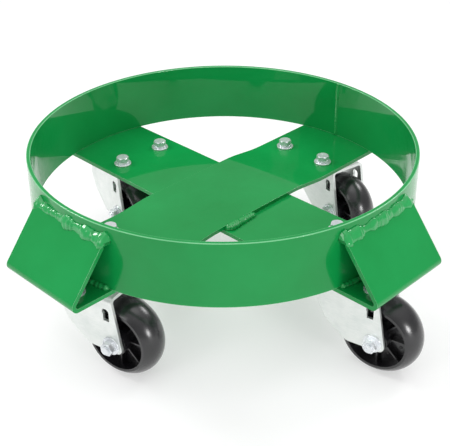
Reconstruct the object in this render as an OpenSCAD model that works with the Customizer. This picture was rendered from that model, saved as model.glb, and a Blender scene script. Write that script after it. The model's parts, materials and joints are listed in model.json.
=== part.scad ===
// Drum dolly: a rolled steel ring on two crossed flat bars, carried by four swivel casters.
// Millimetres. The origin is on the floor, under the middle of the ring. +Z is up.
// Each cross bar runs along a diagonal, and the front of the dolly faces -Y.

/* [Ring] */
// Outside diameter of the ring
ring_od = 609.6; // [590:0.2:640]
// Width of the flat bar that the ring is rolled from
ring_h = 101.6; // [90:0.1:115]
// Thickness of the ring
ring_wall = 6.35; // [5:0.05:8]
// Compass position of the ring's butt seam, counter-clockwise from +X
seam_angle = 46; // [0:1:90]

/* [Cross bars] */
// Width of each cross bar
bar_w = 152.4; // [145:0.1:165]
// Thickness of each cross bar
bar_t = 6.35; // [5:0.05:8]
// Distance from the ring's axis to the sharp corner where the flap turns up
bar_reach = 375; // [368:1:382]
// Height of a flap's top edge above the underside of the bar
flap_h = 89; // [80:1:95]
// Inner radius of the bend at the foot of a flap
bend_r = 4; // [3:0.5:5]
// Half length of the raised middle of the upper bar
joggle_flat = 84; // [83:1:90]
// Distance from the axis at which the upper bar is level again
joggle_end = 168; // [150:1:175]

/* [Caster mounting] */
// Overall height of a caster
caster_h = 165.1; // [165:0.1:170]
// Distance from the ring's axis to a caster's swivel axis
swivel_at = 266.7; // [262:0.1:270]
// Length of a caster's top plate, along the bar
plate_l = 158.75; // [155:0.25:162]
// Width of a caster's top plate, across the bar
plate_w = 114.3; // [110:0.1:118]
// Thickness of a caster's top plate
plate_t = 6.35; // [6:0.05:7]
// Bolt spacing along the bar
bolt_l = 133.35; // [130:0.05:134]
// Bolt spacing across the bar
bolt_w = 85.7; // [80:0.1:88]
// Diameter of the mounting bolts
bolt_d = 12.7; // [11:0.1:13]

/* [Caster] */
// Wheel diameter
wheel_d = 127; // [120:1:128]
// Wheel width over the rim
wheel_w = 50.8; // [46:0.2:51]
// Drop of the crowned tread from its middle to its edges
wheel_crown = 13; // [6:0.5:15]
// Number of ribs on each side of a wheel
wheel_ribs = 8; // [6:1:12]
// Offset of the axle behind the swivel axis
trail = 52; // [46:1:54]
// Direction in which the front wheels trail, counter-clockwise from +X
front_trail_angle = -33; // [-180:1:180]
// The same for the back wheels
back_trail_angle = -55; // [-180:1:180]
// Thickness of the fork's bent plate
fork_t = 4.8; // [4.5:0.1:6]
// Width inside the fork
fork_gap = 60; // [58:0.5:62]
// Number of balls in each swivel race
ball_count = 16; // [12:1:18]

/* [Hidden] */
$fn = 72;

// Colours
green = [0.16, 0.62, 0.32];
weld_green = [0.30, 0.70, 0.42];
zinc = [0.86, 0.87, 0.85];
dark_steel = [0.45, 0.46, 0.48];
black = [0.07, 0.07, 0.08];

// Directions of the four arms, counter-clockwise from +X
back_right = 45;
back_left = 135;
front_left = 225;
front_right = 315;
arms = [back_right, back_left, front_left, front_right];

// Frame heights and radii
ring_r = ring_od / 2;
bar_z = caster_h;
ring_z = bar_z + bar_t;
touch = 0.2;                                // root gap between two pieces before they are welded
flap_foot = ring_r + touch;                 // distance from the axis to the flap's cut end
flap_angle = atan2(flap_h, bar_reach - flap_foot);
bend_out = bend_r + bar_t;
bend_x = bar_reach - bend_out / tan(flap_angle / 2);
joggle_steps = 12;
weld_leg = 6;                               // leg length of the fillet welds
seam_w = 6;
seam_t = 1.2;

// Fasteners
bolt_r = bolt_d / 2;
hole_r = bolt_r + 0.5;
hex_af = 1.5 * bolt_d;
head_h = 8;
nut_h = 11;
flat_t = 2.4;
flat_r = 14.5;
lock_t = 3.2;
lock_r = 10.6;
thread_fit = 0.06;                          // radial gap in a threaded joint
thread_end = 1;                             // length of thread that shows beyond a mounting nut
axle_end = 3;                               // the same beyond an axle nut

// Caster heights, measured down from the top of its plate
crown_top = -21;
crown_bot = crown_top - fork_t;
axle_z = -(caster_h - wheel_d / 2);
leg_bot = axle_z - 12;
race_mid = (crown_top - plate_t) / 2 - 2.7;
race_gap = 2;
race_r = 27;
race_in = 19;
race_out = 36;
ball_r = 3.97;
pin_r = 7.94;
pin_head_r = 13;
pin_head_t = 3;
pin_af = 23.8;
pin_nut_h = 10;
lower_race_r = 22;
lower_race_t = 4;
running = 0.4;                              // gap between faces that turn past each other

// Fork and axle
fork_half = fork_gap / 2 + fork_t;
fork_round = 9;
fork_front = -38;
fork_back = 55;
fork_heel = trail + 20;
slot_w = 10.5;
slot_h = 20.5;
slot_x = 40;
slot_z = -40.5;
axle_r = 6.35;
sleeve_r = 8.6;
thrust_t = 1.6;
thrust_r = 15;
hub_half = fork_gap / 2 - thrust_t - running;
hub_r = 20;
hub_bore = 13.1;
roller_r = 2;
roller_count = 12;
roller_l = 44;
cage_t = 1.5;
cage_gap = 0.2;                             // end play between the rollers and their cages

// Wheel
wheel_r = wheel_d / 2;
rim_r = wheel_r - wheel_crown;
crown_arc = (pow(wheel_w / 2, 2) + pow(wheel_crown, 2)) / (2 * wheel_crown);
rim_band = 4;
web_half = 5;
rib_t = 2.4;
rib_half = wheel_w / 2 - 11;

// ---------- shared shapes ----------

function away(a, b) = (b - a) / norm(b - a);

// A convex outline from [x, y, corner radius] entries, listed in order.
module soft_polygon(corners) {
    n = len(corners);
    at = [for (c = corners) [c[0], c[1]]];
    into = [for (i = [0:n - 1]) away(at[i], at[(i + n - 1) % n])];
    out = [for (i = [0:n - 1]) away(at[i], at[(i + 1) % n])];
    half = [for (i = [0:n - 1]) acos(into[i] * out[i]) / 2];
    polygon([for (i = [0:n - 1], side = [into[i], out[i]]) at[i] + side * corners[i][2] / tan(half[i])]);
    for (i = [0:n - 1])
        if (corners[i][2] > 0)
            translate(at[i] + away([0, 0], into[i] + out[i]) * corners[i][2] / sin(half[i]))
                circle(corners[i][2]);
}

module tube(outer, inner, h) {
    difference() {
        cylinder(r = outer, h = h);
        translate([0, 0, -1]) cylinder(r = inner, h = h + 2);
    }
}

// A hexagonal prism, chamfered at its far end.
module hex_prism(af, h) {
    intersection() {
        linear_extrude(h) circle(r = af / sqrt(3), $fn = 6);
        cylinder(r1 = af / sqrt(3) + h, r2 = af / 2 * 0.97, h = h);
    }
}

// Places children at every mounting bolt, with z = 0 at the underside of the bars.
module at_bolts() {
    for (arm = arms, x = [-bolt_l / 2, bolt_l / 2], y = [-bolt_w / 2, bolt_w / 2])
        rotate(arm) translate([swivel_at + x, y, bar_z]) children();
}

// Moves a caster piece from its own axes to its place under an arm, plate square to the bar.
module at_plate(arm) {
    rotate(arm) translate([swivel_at, 0, caster_h]) children();
}

// The same for a piece that swivels: x is the direction in which the wheel trails.
module at_swivel(arm) {
    heading = arm < 180 ? back_trail_angle : front_trail_angle;
    at_plate(arm) rotate(heading - arm) children();
}

// Lays a shape that is built along z onto the axle, centred on the wheel.
module on_axle() {
    translate([trail, 0, axle_z]) rotate([90, 0, 0]) children();
}

// ---------- frame ----------

module ring_band() {
    color(green) translate([0, 0, ring_z]) tube(ring_r, ring_r - ring_wall, ring_h);
}

// Bead that closes the ring's butt seam, on the inside. The outside is ground flush.
module ring_seam_weld() {
    color(weld_green) rotate(seam_angle) translate([0, 0, ring_z])
        rotate_extrude(angle = seam_w / ring_r * 180 / PI, $fn = 180)
            translate([ring_r - ring_wall - seam_t, 0]) square([seam_t, ring_h]);
}

// Height of the bar's underside at a distance x from the axis, for a raised middle.
function rise(x, lift) =
    x <= joggle_flat ? lift :
    x >= joggle_end ? 0 :
    lift * (1 + cos(180 * (x - joggle_flat) / (joggle_end - joggle_flat))) / 2;

module bar_strip(lift) {
    ramp = [for (i = [0:joggle_steps]) joggle_flat + (joggle_end - joggle_flat) * i / joggle_steps];
    stations = concat([-bend_x], [for (i = [joggle_steps:-1:0]) -ramp[i]], ramp, [bend_x]);
    under = [for (x = stations) [x, rise(abs(x), lift)]];
    polygon(concat(under, [for (i = [len(under) - 1:-1:0]) under[i] + [0, bar_t]]));
}

// Bend and flap at the +x end of a bar, in the bar's side view.
module flap_profile() {
    far = 2 * bar_reach;
    translate([bend_x, bend_out]) intersection() {
        difference() {
            circle(bend_out);
            circle(bend_r);
        }
        polygon([[0, 0], [0, -far], [far, -far], far * [sin(flap_angle), cos(flap_angle)]]);
    }
    difference() {
        translate([bar_reach, 0]) rotate(180 - flap_angle)
            translate([bar_reach - bend_x, 0]) square([far, bar_t]);
        translate([flap_foot - far, -far]) square([far, 2 * far]);
    }
}

// One cross bar along x: a flat strip with a flap at each end, drilled for two casters.
module cross_bar(lift) {
    translate([0, 0, bar_z]) difference() {
        rotate([90, 0, 0]) linear_extrude(bar_w, center = true) {
            bar_strip(lift);
            flap_profile();
            mirror([1, 0]) flap_profile();
        }
        for (x = [-bolt_l / 2, bolt_l / 2], y = [-bolt_w / 2, bolt_w / 2], side = [-1, 1])
            translate([side * (swivel_at + x), y, -1]) cylinder(r = hole_r, h = bar_t + 2);
    }
}

module upper_cross_bar() {
    color(green) rotate(back_right) cross_bar(bar_t);
}

module lower_cross_bar() {
    color(green) rotate(back_left) cross_bar(0);
}

// Stitch fillets: one along the upper bar's front right edge, one under the opposite edge
// of the lower bar, each over part of the crossing.
module centre_welds() {
    fillet = [[0, 0], [weld_leg, 0], [0, weld_leg]];
    stitch = bar_w * 0.38;
    color(weld_green) {
        rotate(back_right) translate([-stitch / 2 - 8, -bar_w / 2, ring_z])
            rotate([90, 0, -90]) linear_extrude(stitch, center = true) polygon(fillet);
        rotate(back_left) translate([stitch / 2 + 8, bar_w / 2, ring_z])
            rotate([90, 0, 90]) linear_extrude(stitch, center = true) mirror([0, 1]) polygon(fillet);
    }
}

// Fillets along the outside of the ring's bottom edge, on all four arms.
module ring_welds() {
    reach = asin(bar_w / 2 * 0.94 / ring_r);
    color(weld_green)
        for (arm = arms)
            rotate(arm - reach) translate([0, 0, ring_z])
                rotate_extrude(angle = 2 * reach, $fn = 180) translate([ring_r, 0])
                    polygon([[0, 0], [weld_leg, 0], [0, weld_leg]]);
}

// Beads that close the gap between each flap's straight top edge and the ring.
module flap_welds() {
    reach = asin(bar_w / 2 / ring_r);
    bead_r = 5;
    root_w = flap_foot - ring_r * cos(reach);
    color(weld_green)
        for (arm = arms)
            rotate(arm) translate([0, 0, bar_z + flap_h]) difference() {
                rotate(-reach) rotate_extrude(angle = 2 * reach, $fn = 180) translate([ring_r, 0]) {
                    translate([0, -bead_r]) square([root_w + 1, bead_r]);
                    intersection() {
                        circle(bead_r, $fn = 36);
                        square(2 * bead_r);
                    }
                }
                translate([flap_foot, -bar_w, -2 * bead_r]) cube([bar_w, 2 * bar_w, 2 * bead_r]);
            }
}

// ---------- mounting fasteners ----------

module hex_bolts() {
    shank = flat_t + lock_t + bar_t + plate_t + nut_h + thread_end;
    color(zinc) at_bolts() translate([0, 0, bar_t + flat_t + lock_t]) {
        hex_prism(hex_af, head_h);
        translate([0, 0, -shank]) cylinder(r = bolt_r, h = shank + 0.1);
    }
}

module lock_washers() {
    color(zinc) at_bolts() translate([0, 0, bar_t + flat_t]) difference() {
        tube(lock_r, bolt_r + 0.3, lock_t);
        rotate([0, 0, 25]) translate([bolt_r, 0, lock_t / 2]) rotate([25, 0, 0])
            cube([2 * lock_r, 1.2, 3 * lock_t], center = true);
    }
}

module flat_washers() {
    color(zinc) at_bolts() translate([0, 0, bar_t]) tube(flat_r, hole_r, flat_t);
}

module hex_nuts() {
    color(zinc) at_bolts() translate([0, 0, -plate_t]) mirror([0, 0, 1]) difference() {
        hex_prism(hex_af, nut_h);
        translate([0, 0, -1]) cylinder(r = bolt_r + thread_fit, h = nut_h + 2);
    }
}

// ---------- caster pieces fixed to the frame ----------

// Top plate with its raised upper ball race.
module top_plate(arm) {
    l = plate_l / 2;
    w = plate_w / 2;
    corner = 10;
    color(zinc) at_plate(arm) difference() {
        union() {
            translate([0, 0, -plate_t]) linear_extrude(plate_t)
                soft_polygon([[-l, -w, corner], [l, -w, corner], [l, w, corner], [-l, w, corner]]);
            translate([0, 0, race_mid + race_gap / 2])
                cylinder(r = race_out, h = -plate_t - race_mid - race_gap / 2 + 0.1);
        }
        translate([0, 0, -caster_h / 2]) cylinder(r = pin_r + thread_fit, h = caster_h);
        translate([0, 0, -pin_head_t]) cylinder(r = pin_head_r + thread_fit, h = 2 * pin_head_t);
        ball_groove(ball_r + running);
        for (x = [-bolt_l / 2, bolt_l / 2], y = [-bolt_w / 2, bolt_w / 2])
            translate([x, y, -plate_t - 1]) cylinder(r = hole_r, h = plate_t + 2);
    }
}

module ball_groove(r) {
    translate([0, 0, race_mid]) rotate_extrude() translate([race_r, 0]) circle(r, $fn = 36);
}

module kingpins() {
    foot = crown_bot - running - lower_race_t - pin_nut_h - 2;
    color(dark_steel) for (arm = arms) at_plate(arm) {
        translate([0, 0, -pin_head_t]) cylinder(r = pin_head_r, h = pin_head_t);
        translate([0, 0, foot]) cylinder(r = pin_r, h = -foot - pin_head_t + 0.1);
    }
}

module lower_races() {
    color(dark_steel) for (arm = arms) at_plate(arm)
        translate([0, 0, crown_bot - running - lower_race_t])
            tube(lower_race_r, pin_r + thread_fit, lower_race_t);
}

module kingpin_nuts() {
    color(zinc) for (arm = arms) at_plate(arm)
        translate([0, 0, crown_bot - running - lower_race_t]) mirror([0, 0, 1]) difference() {
            hex_prism(pin_af, pin_nut_h);
            translate([0, 0, -1]) cylinder(r = pin_r + thread_fit, h = pin_nut_h + 2);
        }
}

// ---------- caster pieces that swivel ----------

// Side view of a fork: x towards the trailing side, y up.
module fork_side() {
    soft_polygon([[fork_front, crown_top, 0], [fork_front, axle_z + 42, 12],
        [fork_front + 12, axle_z + 18, 20], [trail - 42, leg_bot, 12], [fork_heel, leg_bot, 9],
        [fork_back, crown_top, 0]]);
}

// End view of a fork: a channel with rounded shoulders.
module fork_section() {
    inner_round = fork_round - fork_t;
    inside = fork_gap / 2;
    difference() {
        soft_polygon([[-fork_half, crown_top, fork_round], [-fork_half, leg_bot, 0],
            [fork_half, leg_bot, 0], [fork_half, crown_top, fork_round]]);
        soft_polygon([[-inside, crown_bot, inner_round], [-inside, leg_bot - 1, 0],
            [inside, leg_bot - 1, 0], [inside, crown_bot, inner_round]]);
    }
}

module fork_slot() {
    soft_polygon([[slot_x, slot_z - slot_h, 1.5], [slot_x + slot_w, slot_z - slot_h, 1.5],
        [slot_x + slot_w, slot_z, 6], [slot_x, slot_z, 1.5]]);
}

module fork(arm) {
    color(zinc) at_swivel(arm) difference() {
        union() {
            intersection() {
                rotate([90, 0, 0]) linear_extrude(4 * fork_half, center = true) fork_side();
                rotate([90, 0, 90]) linear_extrude(6 * fork_heel, center = true) fork_section();
            }
            translate([0, 0, crown_bot + 1])
                cylinder(r = race_out, h = race_mid - race_gap / 2 - crown_bot - 1);
        }
        rotate([90, 0, 0]) linear_extrude(4 * fork_half, center = true) fork_slot();
        ball_groove(ball_r + 0.03);
        translate([0, 0, -caster_h]) cylinder(r = pin_r + running, h = caster_h);
        on_axle() cylinder(r = axle_r + 0.2, h = 4 * fork_half, center = true);
    }
}

module balls(arm) {
    color(dark_steel) at_swivel(arm)
        for (i = [0:ball_count - 1])
            rotate(i * 360 / ball_count) translate([race_r, 0, race_mid]) sphere(ball_r, $fn = 24);
}

// Head on the far side of the fork, nut on the near side.
module axle_bolt(arm) {
    color(zinc) at_swivel(arm) on_axle() {
        translate([0, 0, -fork_half]) mirror([0, 0, 1]) hex_prism(hex_af, head_h);
        translate([0, 0, -fork_half - 0.1])
            cylinder(r = axle_r, h = 2 * fork_half + flat_t + nut_h + axle_end + 0.1);
    }
}

module axle_nut(arm) {
    color(zinc) at_swivel(arm) on_axle() translate([0, 0, fork_half + flat_t]) difference() {
        hex_prism(hex_af, nut_h);
        translate([0, 0, -1]) cylinder(r = axle_r + thread_fit, h = nut_h + 2);
    }
}

module axle_washers(arm) {
    color(zinc) at_swivel(arm) on_axle() translate([0, 0, fork_half]) tube(flat_r, axle_r + 0.3, flat_t);
}

module thrust_washers(arm) {
    color(dark_steel) at_swivel(arm) on_axle()
        for (z = [-fork_gap / 2, fork_gap / 2 - thrust_t])
            translate([0, 0, z]) tube(thrust_r, sleeve_r + thread_fit, thrust_t);
}

module sleeve(arm) {
    color(dark_steel) at_swivel(arm) on_axle()
        translate([0, 0, -fork_gap / 2]) tube(sleeve_r, axle_r + thread_fit, fork_gap);
}

// ---------- wheels ----------

// Two cages with the rollers between them.
module rollers(arm) {
    mid = (hub_bore + sleeve_r + running) / 2;
    color(dark_steel) at_swivel(arm) on_axle() {
        for (z = [-roller_l / 2 - cage_gap - cage_t, roller_l / 2 + cage_gap])
            translate([0, 0, z]) tube(hub_bore - thread_fit, sleeve_r + running, cage_t);
        for (i = [0:roller_count - 1])
            rotate(i * 360 / roller_count) translate([mid, 0, -roller_l / 2])
                cylinder(r = roller_r, h = roller_l, $fn = 24);
    }
}

// Half section of the wheel: x is the radius, y runs along the axle.
module wheel_section() {
    side = wheel_w / 2;
    difference() {
        intersection() {
            translate([0, -side]) square([wheel_r, wheel_w]);
            translate([wheel_r - crown_arc, 0]) circle(crown_arc, $fn = 180);
        }
        for (end = [0, 1])
            mirror([0, end]) translate([hub_r, web_half])
                square([rim_r - rim_band - hub_r, wheel_w]);
        translate([-1, -wheel_w]) square([hub_bore + 1, 2 * wheel_w]);
    }
    translate([hub_bore, -hub_half]) square([hub_r - hub_bore, 2 * hub_half]);
}

module wheel(arm) {
    rib_in = hub_r - 2;
    rib_out = rim_r - rim_band + 2;
    color(black) at_swivel(arm) on_axle() {
        rotate_extrude($fn = 144) wheel_section();
        for (i = [0:wheel_ribs - 1])
            rotate(i * 360 / wheel_ribs) translate([rib_in, -rib_t / 2, -rib_half])
                cube([rib_out - rib_in, rib_t, 2 * rib_half]);
    }
}

ring_band();
ring_seam_weld();
upper_cross_bar();
lower_cross_bar();
centre_welds();
ring_welds();
flap_welds();
hex_bolts();
lock_washers();
flat_washers();
hex_nuts();
kingpins();
kingpin_nuts();
lower_races();
top_plate(front_left);  // front_left_plate
top_plate(front_right);  // front_right_plate
top_plate(back_left);  // back_left_plate
top_plate(back_right);  // back_right_plate
fork(front_left);  // front_left_fork
fork(front_right);  // front_right_fork
fork(back_left);  // back_left_fork
fork(back_right);  // back_right_fork
balls(front_left);  // front_left_balls
balls(front_right);  // front_right_balls
balls(back_left);  // back_left_balls
balls(back_right);  // back_right_balls
axle_bolt(front_left);  // front_left_axle_bolt
axle_bolt(front_right);  // front_right_axle_bolt
axle_bolt(back_left);  // back_left_axle_bolt
axle_bolt(back_right);  // back_right_axle_bolt
axle_nut(front_left);  // front_left_axle_nut
axle_nut(front_right);  // front_right_axle_nut
axle_nut(back_left);  // back_left_axle_nut
axle_nut(back_right);  // back_right_axle_nut
axle_washers(front_left);  // front_left_axle_washers
axle_washers(front_right);  // front_right_axle_washers
axle_washers(back_left);  // back_left_axle_washers
axle_washers(back_right);  // back_right_axle_washers
thrust_washers(front_left);  // front_left_thrust_washers
thrust_washers(front_right);  // front_right_thrust_washers
thrust_washers(back_left);  // back_left_thrust_washers
thrust_washers(back_right);  // back_right_thrust_washers
sleeve(front_left);  // front_left_sleeve
sleeve(front_right);  // front_right_sleeve
sleeve(back_left);  // back_left_sleeve
sleeve(back_right);  // back_right_sleeve
rollers(front_left);  // front_left_rollers
rollers(front_right);  // front_right_rollers
rollers(back_left);  // back_left_rollers
rollers(back_right);  // back_right_rollers
wheel(front_left);  // front_left_wheel
wheel(front_right);  // front_right_wheel
wheel(back_left);  // back_left_wheel
wheel(back_right);  // back_right_wheel
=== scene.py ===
import json
import math

import bmesh
import bpy
from mathutils import Euler, Matrix, Vector, noise


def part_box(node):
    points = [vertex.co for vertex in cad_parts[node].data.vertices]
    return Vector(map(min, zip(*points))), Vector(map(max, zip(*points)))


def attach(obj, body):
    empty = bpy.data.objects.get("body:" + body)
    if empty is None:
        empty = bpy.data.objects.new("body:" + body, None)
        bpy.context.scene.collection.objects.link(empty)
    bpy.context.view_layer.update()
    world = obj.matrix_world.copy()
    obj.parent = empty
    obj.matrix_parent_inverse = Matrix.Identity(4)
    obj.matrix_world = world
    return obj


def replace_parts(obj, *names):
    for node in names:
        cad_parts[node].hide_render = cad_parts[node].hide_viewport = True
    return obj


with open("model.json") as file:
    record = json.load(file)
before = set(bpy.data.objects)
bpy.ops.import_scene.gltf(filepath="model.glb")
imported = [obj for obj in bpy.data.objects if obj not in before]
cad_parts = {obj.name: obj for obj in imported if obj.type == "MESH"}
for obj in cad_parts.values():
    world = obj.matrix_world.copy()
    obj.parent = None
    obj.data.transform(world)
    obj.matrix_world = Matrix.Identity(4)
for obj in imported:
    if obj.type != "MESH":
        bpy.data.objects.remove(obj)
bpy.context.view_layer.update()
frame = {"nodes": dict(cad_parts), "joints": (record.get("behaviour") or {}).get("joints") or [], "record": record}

MM = 0.001
CORNERS = {"back_right": 45, "back_left": 135, "front_left": 225, "front_right": 315}
BAR_WIDTH = 152.4 * MM
BAR_THICKNESS = 6.35 * MM
FLAP_SLOPE = math.radians(51.8)
BOLT_ALONG = 133.35 * MM
BOLT_ACROSS = 85.7 * MM
BOLT_RADIUS = 6.35 * MM
THREAD_PITCH = 1.95 * MM

ring_low, ring_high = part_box("ring_band")
ring_radius = ring_high.x
bar_low, bar_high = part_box("lower_cross_bar")
joints = {joint["name"]: joint for joint in frame["joints"]}


# ---------- materials ----------

class Shader:
    """A Principled material with short helpers for the nodes that feed it."""

    def __init__(self, name, **values):
        self.material = bpy.data.materials.new(name)
        self.material.use_nodes = True
        self.nodes = self.material.node_tree.nodes
        self.links = self.material.node_tree.links
        self.body = self.nodes["Principled BSDF"]
        self.place = self.nodes.new("ShaderNodeTexCoord").outputs["Object"]
        for socket, value in values.items():
            self.body.inputs[socket.replace("_", " ")].default_value = value

    def noise(self, scale, detail=4.0, roughness=0.55, stretch=(1, 1, 1)):
        mapping = self.nodes.new("ShaderNodeMapping")
        mapping.inputs["Scale"].default_value = stretch
        self.links.new(self.place, mapping.inputs["Vector"])
        texture = self.nodes.new("ShaderNodeTexNoise")
        texture.inputs["Scale"].default_value = scale
        texture.inputs["Detail"].default_value = detail
        texture.inputs["Roughness"].default_value = roughness
        self.links.new(mapping.outputs["Vector"], texture.inputs["Vector"])
        return texture.outputs["Fac"]

    def cells(self, scale):
        texture = self.nodes.new("ShaderNodeTexVoronoi")
        texture.inputs["Scale"].default_value = scale
        self.links.new(self.place, texture.inputs["Vector"])
        return texture.outputs["Distance"]

    def ramp(self, source, stops):
        ramp = self.nodes.new("ShaderNodeValToRGB")
        points = ramp.color_ramp.elements
        while len(points) < len(stops):
            points.new(0.5)
        for point, (position, colour) in zip(points, stops):
            point.position = position
            point.color = (*colour, 1)
        self.links.new(source, ramp.inputs["Fac"])
        return ramp.outputs["Color"]

    def span(self, source, low, high, start=0.3, end=0.7):
        """Maps a texture's values from start..end to low..high."""
        node = self.nodes.new("ShaderNodeMapRange")
        node.inputs["From Min"].default_value = start
        node.inputs["From Max"].default_value = end
        node.inputs["To Min"].default_value = low
        node.inputs["To Max"].default_value = high
        self.links.new(source, node.inputs["Value"])
        return node.outputs["Result"]

    def mix(self, factor, first, second):
        node = self.nodes.new("ShaderNodeMix")
        node.data_type = "RGBA"
        self.links.new(factor, node.inputs[0])
        self.links.new(first, node.inputs[6])
        self.links.new(second, node.inputs[7])
        return node.outputs[2]

    def feed(self, source, socket):
        self.links.new(source, self.body.inputs[socket])

    def bump(self, *layers):
        """Stacks (height, strength, distance) layers on the surface normal."""
        normal = None
        for height, strength, distance in layers:
            node = self.nodes.new("ShaderNodeBump")
            node.inputs["Strength"].default_value = strength
            node.inputs["Distance"].default_value = distance
            self.links.new(height, node.inputs["Height"])
            if normal:
                self.links.new(normal, node.inputs["Normal"])
            normal = node.outputs["Normal"]
        self.links.new(normal, self.body.inputs["Normal"])
        return self.material


def green_paint(name, dark, light, peel, gloss, coat_ior):
    """Glossy powder coat: a clear skin with orange peel over slightly uneven colour and fine dust."""
    s = Shader(name, Coat_Weight=gloss, Coat_Roughness=0.04, Coat_IOR=coat_ior, Specular_IOR_Level=0.05)
    broad = s.ramp(s.noise(7, 5), [(0.3, dark), (0.7, light)])
    fine = s.ramp(s.noise(900, 3), [(0.35, dark), (0.75, light)])
    dust = s.span(s.noise(45, 6, 0.7), 0.0, 0.35, 0.55, 0.8)
    s.feed(s.mix(dust, broad, fine), "Base Color")
    s.feed(s.span(s.noise(130, 4), 0.30, 0.44), "Roughness")
    return s.bump((s.noise(10, 2), peel, 0.002), (s.noise(330, 2), 0.05, 0.0005))


def zinc(name, dark, light, rough, metallic=0.8):
    """Bright zinc plate: faint crystal mottling, drawn grain and small scuffs."""
    s = Shader(name, Metallic=metallic)
    mottled = s.ramp(s.noise(34, 6, 0.62), [(0.32, dark), (0.68, light)])
    scuffed = s.ramp(s.noise(90, 5, 0.7, (1, 1, 6)), [(0.35, light), (0.7, dark)])
    s.feed(s.mix(s.span(s.cells(70), 0.1, 0.5), mottled, scuffed), "Base Color")
    s.feed(s.span(s.noise(60, 5), rough, rough + 0.16), "Roughness")
    return s.bump((s.noise(600, 3, 0.6, (1, 1, 4)), 0.08, 0.0004), (s.noise(22, 3), 0.12, 0.001))


def moulded_black(name):
    """Hard moulded tread: near black, glossy, with faint flow marks and dust in the gloss."""
    s = Shader(name, Coat_Weight=1.0, Coat_Roughness=0.25, Coat_IOR=1.6, Specular_IOR_Level=0.1)
    flow = s.ramp(s.noise(40, 5), [(0.3, (0.005, 0.005, 0.006)), (0.75, (0.012, 0.011, 0.014))])
    s.feed(flow, "Base Color")
    s.feed(s.span(s.noise(110, 6, 0.65), 0.26, 0.42), "Roughness")
    return s.bump((s.noise(520, 3), 0.07, 0.0004), (s.noise(26, 2), 0.12, 0.001))


FLAT = green_paint("powder coat", (0.002, 0.23, 0.045), (0.005, 0.28, 0.062), 0.03, 0.85, 1.38)
# The weld green is paler than the flat coat; part of that paleness is painted highlight for the sheen on the
# beads.
WELD = green_paint("painted weld", (0.003, 0.26, 0.050), (0.016, 0.35, 0.090), 0.25, 1.0, 1.55)
# The pale green on the rounded edges is a painted highlight: it stands for light catching the edges, not for
# thinner paint.
PAINTED_EDGE_HIGHLIGHT = green_paint("painted edge highlight", (0.10, 0.44, 0.18), (0.20, 0.56, 0.28), 0.03, 1.0, 1.5)

MATERIALS = {
    "green_powder_coat": FLAT,
    "painted_weld": WELD,
    "zinc_plate": zinc("zinc plated pressing", (0.70, 0.74, 0.72), (0.86, 0.88, 0.86), 0.30),
    "zinc_fasteners": zinc("zinc plated fastener", (0.62, 0.66, 0.70), (0.92, 0.93, 0.95), 0.16, 0.6),
    "bearing_steel": zinc("bearing steel", (0.28, 0.29, 0.30), (0.42, 0.43, 0.44), 0.25),
    "black_wheel": moulded_black("moulded wheel"),
}



def dress(obj, slot):
    obj.data.materials.clear()
    obj.data.materials.append(MATERIALS[slot])


# ---------- rounded edges on the CAD nodes ----------

EDGE = {
    "ring_band": 1.1, "upper_cross_bar": 1.1, "lower_cross_bar": 1.1, "fork": 0.9, "plate": 0.9,
    "wheel": 1.3, "hex_bolts": 0.4, "hex_nuts": 0.4, "kingpin_nuts": 0.5, "flat_washers": 0.5,
    "lock_washers": 0.3, "axle_bolt": 0.4, "axle_nut": 0.4, "axle_washers": 0.5,
}


def soften(obj, width):
    """Joins the imported mesh into whole faces and rounds its sharp edges."""
    weld = obj.modifiers.new("join seams", "WELD")
    weld.merge_threshold = 1e-5
    whole = obj.modifiers.new("whole faces", "DECIMATE")
    whole.decimate_type = "DISSOLVE"
    whole.angle_limit = math.radians(0.3)
    bevel = obj.modifiers.new("edge rounding", "BEVEL")
    bevel.width = width
    bevel.segments = 3
    bevel.limit_method = "ANGLE"
    bevel.angle_limit = math.radians(32)
    # The rounding takes the last material slot, which on green parts is the painted edge highlight.
    bevel.material = len(obj.data.materials) - 1
    obj.modifiers.new("flat faces", "WEIGHTED_NORMAL").keep_sharp = False


def corner_free(node):
    """The kind of piece a node holds, without the name of its corner."""
    for corner in CORNERS:
        node = node.removeprefix(corner + "_")
    return node


slots = {part["node"]: part["material_slot"] for part in frame["record"]["subparts"]}
for node, obj in frame["nodes"].items():
    dress(obj, slots[node])
    for polygon in obj.data.polygons:
        polygon.use_smooth = True
    # Green parts get a second slot that holds the painted edge highlight for their rounded edges.
    if slots[node] == "green_powder_coat":
        obj.data.materials.append(PAINTED_EDGE_HIGHLIGHT)
    if corner_free(node) in EDGE:
        soften(obj, EDGE[corner_free(node)] * MM)


# ---------- meshes built here ----------

def piece(name, shapes, body, slot):
    """One object from closed (points, faces) shapes, riding on a body."""
    mesh = bmesh.new()
    for points, faces in shapes:
        corners = [mesh.verts.new(point) for point in points]
        for face in faces:
            mesh.faces.new([corners[i] for i in face]).smooth = True
    bmesh.ops.recalc_face_normals(mesh, faces=mesh.faces)
    data = bpy.data.meshes.new(name)
    mesh.to_mesh(data)
    mesh.free()
    obj = bpy.data.objects.new(name, data)
    bpy.context.scene.collection.objects.link(obj)
    dress(obj, slot)
    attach(obj, body)
    return obj


def skin(loops):
    """A closed shape through equal loops of points, capped at both ends."""
    count = len(loops[0])
    points = [point for loop in loops for point in loop]
    faces = []
    for row in range(len(loops) - 1):
        for i in range(count):
            j = (i + 1) % count
            faces.append((row * count + i, row * count + j, (row + 1) * count + j, (row + 1) * count + i))
    last = (len(loops) - 1) * count
    faces.append(tuple(range(count - 1, -1, -1)))
    faces.append(tuple(range(last, last + count)))
    return points, faces


# ---------- weld beads ----------

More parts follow.
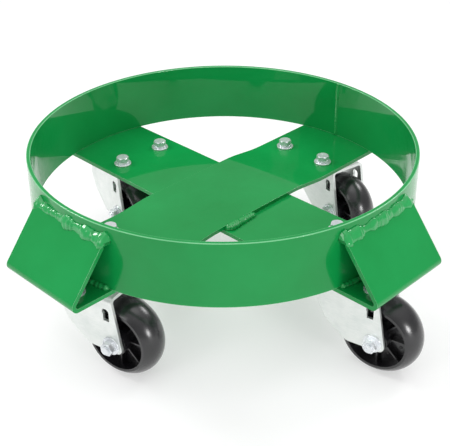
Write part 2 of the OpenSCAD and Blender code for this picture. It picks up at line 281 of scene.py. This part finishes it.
def lump(along, seed, ripple=0.16, wander=0.5, pitch=7 * MM):
    """Size of a hand-laid bead at a distance along it: overlapping puddles of uneven width."""
    shift = noise.noise(Vector((along / MM * 0.07, seed, 0.5))) * 4
    puddle = abs(math.sin(math.pi * along / pitch + shift))
    return 1 + ripple * (puddle - 0.6) + wander * noise.noise(Vector((along / MM * 0.045, seed, 7.3)))


def taper(along, length, round_end):
    """Falls from 1 to a blunt tip over the last stretch at each end of a bead."""
    inset = min(along, length - along)
    if inset >= round_end:
        return 1
    return max(0.05, math.sqrt(1 - (1 - inset / round_end) ** 2))


def blob(along, length, gain, reach=6 * MM):
    """The extra size where a welder starts and stops, a little in from each end."""
    inset = min(along, length - along)
    return 1 + gain * math.exp(-((inset / reach - 1.4) ** 2))


def roughen(point, amount, seed):
    """Moves a bead's surface point by a smooth random step."""
    return point + amount * noise.noise_vector(point * 130 + Vector((seed, 0, 0)))


def fillet_bead(length, place, leg, seed, steps=110, arc=9):
    """A convex bead in a corner. place(along) gives the corner point and its two face directions."""
    loops = []
    for step in range(steps + 1):
        along = length * step / steps
        corner, across, up = place(along)
        size = leg * lump(along, seed) * taper(along, length, leg)
        loop = [corner - 0.15 * size * (across + up)]
        for i in range(arc + 1):
            turn = math.pi / 2 * i / arc
            point = corner + size * (math.cos(turn) ** 0.85 * across + math.sin(turn) ** 0.85 * up)
            loop.append(roughen(point, 0.4 * MM, seed))
        loops.append(loop)
    return skin(loops)


def flap_bead(degrees, seed):
    """The puddled weld that bridges from a flap's straight top edge to the round ring."""
    along_arm = Matrix.Rotation(math.radians(degrees), 3, "Z")
    overrun = 3 * MM
    length = BAR_WIDTH + 2 * overrun
    down_flap = Vector((math.cos(FLAP_SLOPE), 0, -math.sin(FLAP_SLOPE)))
    off_flap = Vector((math.sin(FLAP_SLOPE), 0, math.cos(FLAP_SLOPE)))
    loops = []
    steps = 150
    for step in range(steps + 1):
        along = length * step / steps
        size = lump(along, seed, 0.15, 0.9, 12 * MM) * blob(along, length, 0.35)
        size *= taper(along, length, 7 * MM)
        y = along - length / 2
        ring = math.sqrt(ring_radius ** 2 - y ** 2) - 0.3 * MM
        edge = Vector((ring_radius + 0.2 * MM, y, bar_high.z))
        root = Vector((ring, y, bar_high.z - 1 * MM))
        toe = edge + down_flap * 9 * MM * size
        crest = Vector(((ring + edge.x) / 2, y, bar_high.z)) + off_flap * 8 * MM * size
        loop = [roughen(root + Vector((0, 0, 9 * MM * size)), 0.3 * MM, seed)]
        start = loop[0]
        for i in range(1, 10):
            t = i / 10
            point = start * (1 - t) ** 2 + crest * 2 * t * (1 - t) + toe * t ** 2
            loop.append(roughen(point, 1.0 * MM, seed))
        loop.append(toe - off_flap * 1 * MM)
        loop.append(edge - Vector((-1 * MM, 0, 7.5 * MM * min(1, size))))
        loop.append(root - Vector((0, 0, 6 * MM * min(1, size))))
        loops.append([along_arm @ point for point in loop])
    return skin(loops)


def ring_bead(degrees, seed):
    """The fillet between the ring's outer face and the top of a cross bar."""
    reach = math.asin(BAR_WIDTH / 2 * 0.93 / ring_radius)
    start = math.radians(degrees) - reach

    def place(along):
        angle = start + along / ring_radius
        outward = Vector((math.cos(angle), math.sin(angle), 0))
        return outward * ring_radius + Vector((0, 0, ring_low.z)), outward, Vector((0, 0, 1))

    return fillet_bead(2 * reach * ring_radius, place, 6 * MM, seed)


def stitch_bead(degrees, side, up, seed):
    """A short fillet along one edge of a cross bar, where it passes the other bar."""
    arm = Vector((math.cos(math.radians(degrees)), math.sin(math.radians(degrees)), 0))
    across = Vector((-arm.y, arm.x, 0)) * side
    length = 66 * MM
    near_end = -74 * MM if side < 0 else 8 * MM

    def place(along):
        edge = arm * (near_end + along) + across * BAR_WIDTH / 2
        return edge + Vector((0, 0, ring_low.z)), across, Vector((0, 0, 0.7 * up))

    return fillet_bead(length, place, 9.5 * MM, seed)


def seam_bead():
    """The flattened bead over the ring's butt seam, on the inside."""
    low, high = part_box("ring_seam_weld")
    angle = math.atan2(low.y + high.y, low.x + high.x)
    outward = Vector((math.cos(angle), math.sin(angle), 0))
    aside = Vector((-outward.y, outward.x, 0))
    inner = ring_radius - BAR_THICKNESS
    length = high.z - low.z - 1 * MM
    loops = []
    for step in range(91):
        along = length * step / 90
        size = lump(along, 5.0, 0.25, 0.4, 5 * MM) * taper(along, length, 3 * MM)
        centre = outward * (inner + 0.4 * MM) + Vector((0, 0, low.z + 0.5 * MM + along))
        loop = []
        for i in range(9):
            turn = math.pi * i / 8
            across = 3.4 * MM * size * math.cos(turn)
            proud = 1.5 * MM * size * math.sin(turn)
            loop.append(roughen(centre + aside * across - outward * proud, 0.15 * MM, 5.0))
        loops.append(loop)
    return skin(loops)


def weld_beads():
    arms = list(CORNERS.values())
    flaps = piece("flap_beads", [flap_bead(a, 3.1 + i) for i, a in enumerate(arms)], "frame", "painted_weld")
    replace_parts(flaps, "flap_welds")
    rings = piece("ring_beads", [ring_bead(a, 20.7 + i) for i, a in enumerate(arms)], "frame", "painted_weld")
    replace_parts(rings, "ring_welds")
    upper_stitch = stitch_bead(CORNERS["back_right"], -1, 1, 40.2)
    lower_stitch = stitch_bead(CORNERS["back_left"], 1, -1, 41.9)
    stitches = [upper_stitch, lower_stitch]
    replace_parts(piece("stitch_beads", stitches, "frame", "painted_weld"), "centre_welds")
    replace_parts(piece("seam_bead", [seam_bead()], "frame", "painted_weld"), "ring_seam_weld")


# ---------- threads ----------

def thread(start, axis, length, radius):
    """A screw ridge around a bolt's end, from start along axis."""
    side = axis.orthogonal().normalized()
    other = axis.cross(side)
    turns = length / THREAD_PITCH
    steps = max(8, round(turns * 32))
    loops = []
    for step in range(steps + 1):
        turn = 2 * math.pi * turns * step / steps
        outward = side * math.cos(turn) + other * math.sin(turn)
        middle = start + axis * length * step / steps
        depth = 0.32 * THREAD_PITCH * taper(step, steps, steps * 0.12)
        loops.append([
            middle + outward * (radius - 0.3 * MM) - axis * 0.4 * THREAD_PITCH,
            middle + outward * (radius + 0.4 * depth) - axis * 0.08 * THREAD_PITCH,
            middle + outward * (radius + 0.4 * depth) + axis * 0.08 * THREAD_PITCH,
            middle + outward * (radius - 0.3 * MM) + axis * 0.4 * THREAD_PITCH,
        ])
    return skin(loops)


def reach_along(node, point, axis):
    """How far a node's mesh extends along axis, from a point."""
    return max((vertex.co - point).dot(axis) for vertex in frame["nodes"][node].data.vertices)


def bolt_threads():
    shapes = []
    nut_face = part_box("hex_nuts")[0].z
    length = nut_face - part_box("hex_bolts")[0].z
    for corner, degrees in CORNERS.items():
        swivel = Vector(joints[corner + "_swivel_turn"]["pos_m"])
        turn = Matrix.Rotation(math.radians(degrees), 3, "Z")
        for x in (-BOLT_ALONG / 2, BOLT_ALONG / 2):
            for y in (-BOLT_ACROSS / 2, BOLT_ACROSS / 2):
                place = swivel + turn @ Vector((x, y, 0))
                place.z = nut_face
                shapes.append(thread(place, Vector((0, 0, -1)), length * 0.8, BOLT_RADIUS))
    piece("bolt_threads", shapes, "frame", "zinc_fasteners")


def axle_thread(corner):
    spin = joints[corner + "_wheel_spin"]
    hub = Vector(spin["pos_m"])
    near = -Vector(spin["axis"]).normalized()
    nut_face = reach_along(corner + "_axle_nut", hub, near)
    length = reach_along(corner + "_axle_bolt", hub, near) - nut_face
    shape = thread(hub + near * nut_face, near, length * 0.85, BOLT_RADIUS)
    piece(corner + "_axle_thread", [shape], corner + "_swivel", "zinc_fasteners")


# ---------- moulding marks on the wheels ----------

def dome(centre, axis, radius, height, rings=4, around=14):
    """A low round pip with its foot sunk into the face that it stands on."""
    side = axis.orthogonal().normalized()
    other = axis.cross(side)
    loops = []
    for ring in range(rings + 1):
        rise = math.pi / 2 * ring / rings
        width = max(radius * math.cos(rise), 0.05 * radius)
        middle = centre + axis * (height * math.sin(rise) - 0.2 * MM)
        turns = [2 * math.pi * i / around for i in range(around)]
        loops.append([middle + width * (side * math.cos(turn) + other * math.sin(turn)) for turn in turns])
    return skin(loops)


def wheel_marks(corner, ribs=8, web=5 * MM, at=36 * MM):
    """Ejector pips between the ribs, on both sides of a wheel's web."""
    spin = joints[corner + "_wheel_spin"]
    hub = Vector(spin["pos_m"])
    axle = Vector(spin["axis"]).normalized()
    level = Vector((0, 0, 1)).cross(axle)
    shapes = []
    for way in (-1, 1):
        for i in range(ribs):
            turn = 2 * math.pi * (i + 0.5) / ribs
            outward = level * math.cos(turn) + Vector((0, 0, math.sin(turn)))
            shapes.append(dome(hub + axle * way * web + outward * at, axle * way, 2.6 * MM, 1.2 * MM))
    piece(corner + "_wheel_pips", shapes, corner + "_roller", "black_wheel")


weld_beads()
bolt_threads()
for corner in CORNERS:
    axle_thread(corner)
    wheel_marks(corner)


# ---------- floor, light and camera ----------

def stage_floor():
    bpy.ops.mesh.primitive_plane_add(size=14)
    floor = bpy.context.object
    floor.name = "studio_floor"
    s = Shader("studio floor", Roughness=0.8, Specular_IOR_Level=0.1, Emission_Strength=0.46)
    s.body.inputs["Emission Color"].default_value = (1, 1, 1, 1)
    s.feed(s.ramp(s.noise(3, 2), [(0.3, (0.50, 0.50, 0.50)), (0.7, (0.52, 0.52, 0.52))]), "Base Color")
    floor.data.materials.append(s.material)


def softbox(name, place, aim, size, power):
    light = bpy.data.lights.new(name, "AREA")
    light.shape = "ELLIPSE"
    light.size, light.size_y = size
    light.energy = power
    holder = bpy.data.objects.new(name, light)
    holder.location = place
    holder.rotation_euler = (Vector(aim) - Vector(place)).to_track_quat("-Z", "Y").to_euler()
    bpy.context.scene.collection.objects.link(holder)


def sky():
    """A pale studio ceiling that is brightest overhead."""
    world = bpy.data.worlds.new("studio")
    world.use_nodes = True
    nodes, links = world.node_tree.nodes, world.node_tree.links
    direction = nodes.new("ShaderNodeTexCoord").outputs["Generated"]
    split = nodes.new("ShaderNodeSeparateXYZ")
    links.new(direction, split.inputs["Vector"])
    rise = nodes.new("ShaderNodeMapRange")
    rise.inputs["From Min"].default_value = 0.5
    rise.inputs["From Max"].default_value = 1.0
    rise.inputs["To Min"].default_value = 0.5
    rise.inputs["To Max"].default_value = 1.2
    links.new(split.outputs["Z"], rise.inputs["Value"])
    links.new(rise.outputs["Result"], nodes["Background"].inputs["Strength"])
    nodes["Background"].inputs["Color"].default_value = (1, 1, 1, 1)
    bpy.context.scene.world = world


def studio():
    stage_floor()
    sky()
    softbox("top softbox", (0, -0.2, 2.4), (0, 0, 0), (2.0, 1.6), 6)
    softbox("left softbox", (-1.7, -1.7, 1.5), (0, 0, 0.15), (0.9, 1.2), 9)
    softbox("low right softbox", (1.35, -1.75, 0.56), (0.1, -0.2, 0.1), (0.5, 0.5), 14)
    softbox("left glint", (-1.64, 0.3, 1.55), (-0.2, -0.2, 0.25), (0.8, 0.6), 18)
    softbox("right glint", (1.35, 0.75, 1.6), (0.2, -0.2, 0.25), (0.8, 0.6), 10)
    bpy.context.scene.view_settings.view_transform = "Standard"


def camera():
    lens = bpy.data.cameras.new("camera")
    lens.lens = 77.5
    lens.sensor_width = 36
    lens.shift_y = -0.14
    holder = bpy.data.objects.new("camera", lens)
    pitch, yaw, roll = (math.radians(angle) for angle in (27.73, 0.42, -0.24))
    aim = Euler((math.pi / 2 - pitch, 0, -yaw)).to_matrix() @ Matrix.Rotation(roll, 3, "Z")
    holder.location = (-0.0069, -1.3623, 0.9516)
    holder.rotation_euler = aim.to_euler()
    bpy.context.scene.collection.objects.link(holder)
    bpy.context.scene.camera = holder


studio()
camera()
